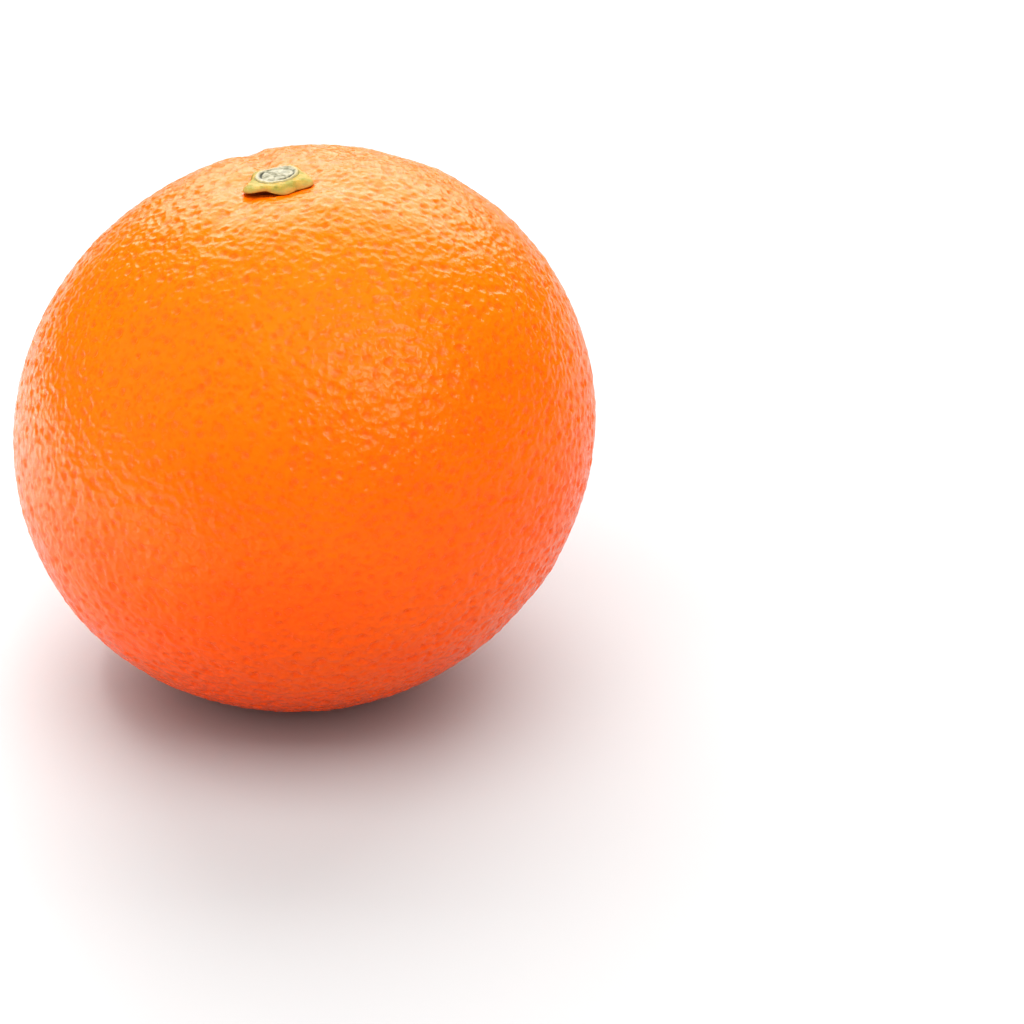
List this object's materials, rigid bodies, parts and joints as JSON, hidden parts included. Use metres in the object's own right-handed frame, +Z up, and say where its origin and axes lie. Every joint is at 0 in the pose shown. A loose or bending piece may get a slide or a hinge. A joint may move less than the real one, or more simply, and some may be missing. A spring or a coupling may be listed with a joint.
{
  "type": "orange",
  "caption": "Whole orange, slightly flattened and lopsided, with a five-lobed calyx around a cut stem stub in a shallow furrowed hollow, resting on a small flat spot.",
  "frame": {"origin": "on the small flat spot that the fruit rests on, under the fruit's middle", "axes": "+Z up towards the stem end, which leans 4.7 degrees to -X; +X towards the higher shoulder; -Y is the side that faces the camera in the reference view"},
  "size_m": [0.0781, 0.079, 0.0744],
  "materials": {
    "peel": "satin",
    "calyx": "matte",
    "stem_wood": "matte"
  },
  "bodies": {
    "root": {"fruit": "peel", "calyx": "calyx", "stem_stub": "stem_wood"}
  },
  "joints": []
}
